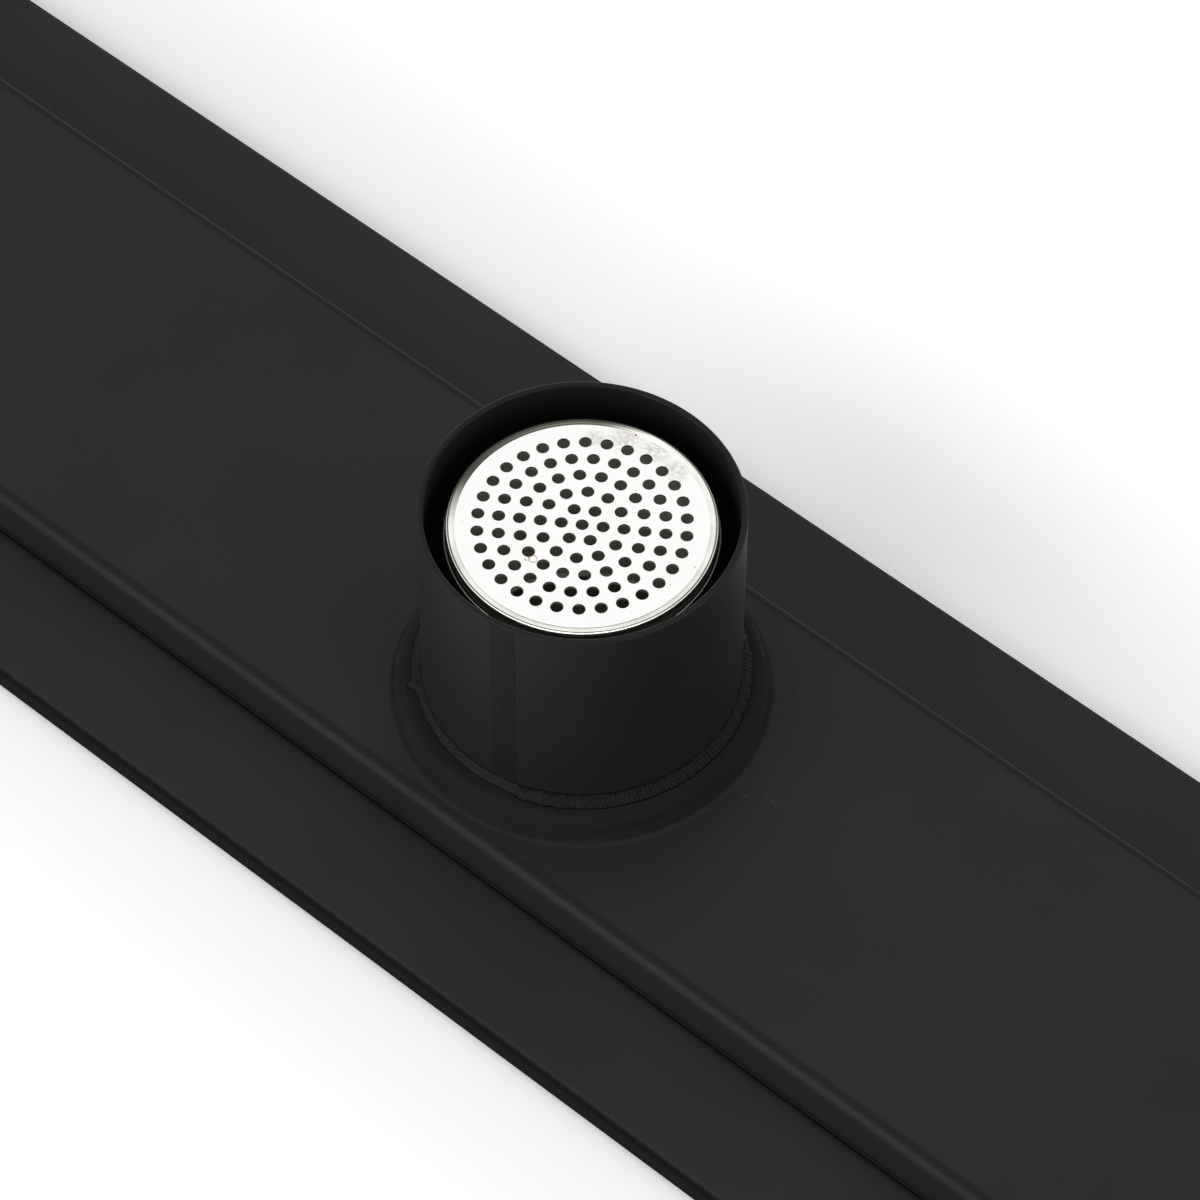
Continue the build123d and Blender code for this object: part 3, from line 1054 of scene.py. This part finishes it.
def mitre_line():
    """The outside of the sheet in the mitre's own upright plane, from the tray's floor to the lip's bend.

    Each point is the distance from the tray's corner, measured square to a side, and the height."""
    wall_turn = 90 - WALL_DRAFT
    points = []
    for i in range(MITRE_BEND_STEPS + 1):
        turn = math.radians(90 - wall_turn * i / MITRE_BEND_STEPS)
        height = FLOOR_TOP - BEND_OUTSIDE + BEND_OUTSIDE * math.sin(turn)
        points.append((BEND_OUTSIDE * math.cos(turn), height))
    wall = BEND_OUTSIDE + (FLOOR_TOP - FLANGE_TOP) * math.tan(math.radians(WALL_DRAFT))
    for i in range(MITRE_BEND_STEPS + 1):
        turn = math.radians(180 + WALL_DRAFT + wall_turn * i / MITRE_BEND_STEPS)
        height = FLANGE_TOP + ROOT_BEND + ROOT_BEND * math.sin(turn)
        points.append((wall + ROOT_BEND + ROOT_BEND * math.cos(turn), height))
    start, end = points[-1][0], HALF_LENGTH - FLOOR_END - MITRE_SHORT
    for i in range(1, MITRE_FLANGE_STEPS + 1):
        points.append((start + (end - start) * i / MITRE_FLANGE_STEPS, FLANGE_TOP))
    return points


def mitre_weld(name, along, side, material):
    """A low dressed weld over one mitred corner of the channel."""
    corner = Vector((FLOOR_END * along, FLOOR_EDGE * side, 0))
    outward = Vector((along, side, 0))
    sideways = Vector((-side, along, 0)).normalized()
    line = [corner + outward * out + Vector((0, 0, height)) for out, height in mitre_line()]
    mesh = bmesh.new()
    ring = bmesh.ops.create_circle(mesh, cap_ends=True, radius=1, segments=MITRE_SIDES)["verts"]
    shape = [v.co.copy() for v in ring]
    last = len(line) - 1
    for i, point in enumerate(line):
        before, after = line[max(i - 1, 0)], line[min(i + 1, last)]
        level = sideways.cross((after - before).normalized())
        if level.z < 0 or (abs(level.z) < 0.01 and level.dot(outward) < 0):
            level.negate()
        full = min(1, MITRE_TAPER + MITRE_TAPER * i, MITRE_TAPER + MITRE_TAPER * (last - i))
        uneven = 1 + MITRE_UNEVEN * noise.noise(point * MITRE_CELLS)
        for vert, at in zip(ring, shape):
            beside = sideways * at.x * MITRE_WIDTH / 2 * full
            vert.co = point + beside + level * at.y * MITRE_CROWN * full * uneven
        if i < last:
            end = [f for f in mesh.faces if all(v in ring for v in f.verts)][-1]
            grown = bmesh.ops.extrude_face_region(mesh, geom=[end])
            new = [v for v in grown["geom"] if isinstance(v, bmesh.types.BMVert)]
            ring = [min(new, key=lambda v: (v.co - old.co).length) for old in ring]
            bmesh.ops.delete(mesh, geom=[end], context="FACES_ONLY")
    piece(name, mesh, material)


# The surroundings

FLOOR_HALF = 0.65
FLOOR_SHADOWED_BESIDE = (1.13, 1.135, 1.15, 1)
FLOOR_AWAY = (1.75, 1.75, 1.76, 1)
FLOOR_FADE = (-0.002, 0.10)
FLOOR_REAL = (0.80, 0.80, 0.80, 1)
AMBIENT = (0.30, 0.30, 0.30, 1)
WHITE = (1, 1, 1, 1)

# Each lamp's name, place, the point it is aimed at, its size, level and colour
SOFTBOXES = (
    ("left_softbox", (-0.20, -1.05, 0.52), (-0.05, 0, 0.02), 1.10, 0.60, (1, 0.955, 0.885)),
    ("right_softbox", (1.45, 0.20, 0.60), (0, 0, 0.02), 1.3, 0.27, (1, 1, 1)),
    ("top_softbox", (-0.10, 0.05, 1.60), (0, 0, 0.02), 1.0, 0.28, (1, 1, 1)),
)


def shown_ray(n):
    """1 where the camera, a reflection or something clear looks at this."""
    path = n.put("ShaderNodeLightPath").outputs
    seen = n.math("MAXIMUM", path["Is Camera Ray"], path["Is Glossy Ray"])
    return n.math("MAXIMUM", seen, path["Is Transmission Ray"])


def pale_floor():
    """A white floor that keeps the drain's shadow, with a painted shadow beside the drain, and grows whiter
    away from it to meet the background.
    """
    mesh = bmesh.new()
    bmesh.ops.create_grid(mesh, x_segments=1, y_segments=1, size=FLOOR_HALF)
    floor = linked("floor", mesh_data("floor", mesh))
    material, n, shader, place = new_material("white_floor")
    material.node_tree.nodes.remove(shader)
    at = n.split(place)
    beyond_side = n.math("SUBTRACT", n.math("ABSOLUTE", at["Y"]), HALF_WIDTH)
    beyond_end = n.math("SUBTRACT", n.math("ABSOLUTE", at["X"]), HALF_LENGTH)
    # Painted shadow: the floor is shown darker beside the drain
    away = n.fade(n.math("MAXIMUM", beyond_side, beyond_end), *FLOOR_FADE)
    shown = n.tint(away, FLOOR_SHADOWED_BESIDE, FLOOR_AWAY)
    diffuse = n.put("ShaderNodeBsdfDiffuse", Color=n.tint(shown_ray(n), FLOOR_REAL, shown))
    n.feed(material.node_tree.nodes["Material Output"].inputs["Surface"], diffuse.outputs[0])
    floor.data.materials.append(material)


def studio_world():
    """White where it is looked at, and a plain soft light on everything."""
    world = bpy.data.worlds.new("studio")
    bpy.context.scene.world = world
    world.use_nodes = True
    n = Nodes(world.node_tree)
    background = world.node_tree.nodes["Background"]
    n.feed(background.inputs["Color"], n.tint(shown_ray(n), AMBIENT, WHITE))


def softbox(name, place, aim, size, level, colour):
    """A square lamp aimed at a point. Its level is the share of full white on a surface that faces it."""
    reach = Vector(aim) - Vector(place)
    lamp = bpy.data.lights.new(name, "AREA")
    lamp.shape = "SQUARE"
    lamp.size = size
    lamp.color = colour
    lamp.energy = level * math.pi ** 2 * reach.length_squared
    made = linked(name, lamp)
    made.location = place
    made.rotation_euler = reach.to_track_quat("-Z", "Y").to_euler()


# The photograph's view, about the middle of the strainer's face. The lens, and how far that middle lies
# aside of and above the picture's, are in the photograph's pixels.
PICTURE = 1200
LENS = 5212.46
ASIDE = -18.43
ABOVE = -75.14
DISTANCE = 785.54 * MM
ELEVATION = math.radians(53.22)
AZIMUTH = math.radians(40.25)
ROLL = math.radians(-0.47)
SENSOR = 36.0
NEAREST = 0.01
FARTHEST = 50


def camera():
    """The camera, as it stood for the photograph."""
    right = Vector((math.cos(AZIMUTH), math.sin(AZIMUTH), 0))
    level = math.cos(ELEVATION)
    back = Vector((math.sin(AZIMUTH) * level, -math.cos(AZIMUTH) * level, math.sin(ELEVATION)))
    up = back.cross(right)
    data = bpy.data.cameras.new("camera")
    data.sensor_width = SENSOR
    data.lens = LENS / PICTURE * SENSOR
    data.clip_start = NEAREST
    data.clip_end = FARTHEST
    made = linked("camera", data)
    face = Vector((0, 0, STRAINER_FACE))
    made.location = face + back * DISTANCE - right * ASIDE * DISTANCE / LENS + up * ABOVE * DISTANCE / LENS
    turn = Matrix.Rotation(ROLL, 3, back).inverted()
    made.rotation_euler = Matrix((turn @ right, turn @ up, back)).transposed().to_euler()
    bpy.context.scene.camera = made


def dress_parts(tray_coat):
    """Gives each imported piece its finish."""
    ends = coat("coat_black_ends", marks=end_shade, dry=dry_end)
    finishes = {
        "channel_tray": tray_coat,
        "left_end": ends,
        "right_end": ends,
        "outlet_pipe": coat("coat_black_pipe_shaded", dark=PIPE_SHADED_DARK, light=PIPE_SHADED_LIGHT, marks=pipe_marks),
        "cover_panel": cover_skin("sheet_of_cover"),
        "strainer_cup": cup_steel("steel_face"),
        "strainer_tube": tube_steel("steel_tube"),
        "strainer_collar": bright_steel("steel_collar"),
        "strainer_handle": bright_steel("steel_strap"),
        "strainer_seal": rubber("rubber_black"),
    }
    for name, material in finishes.items():
        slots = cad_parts[name].material_slots
        for slot in slots:
            slot.material = material
        if not slots:
            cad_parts[name].data.materials.append(material)


def make_pieces(tray_coat):
    """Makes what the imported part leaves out: welds, seam, soft foot and lip."""
    rippled_weld(weld_skin("coat_on_ripples", rippled=True))
    pipe_seam(seam_skin("coat_on_seam"))
    dressed = weld_skin("coat_on_weld")
    for along, end in ((1, "right"), (-1, "left")):
        for side, face in ((1, "back"), (-1, "front")):
            mitre_weld(f"mitre_weld_{end}_{face}", along, side, dressed)
    neck_foot(tray_coat)
    strainer_lip(lip_steel("steel_lip"))


black_coat = coat("coat_black_tray", marks=tray_marks, dry=dry_tray)
dress_parts(black_coat)
make_pieces(black_coat)
pale_floor()
studio_world()
for values in SOFTBOXES:
    softbox(*values)
camera()
bpy.context.scene.view_settings.view_transform = "Standard"
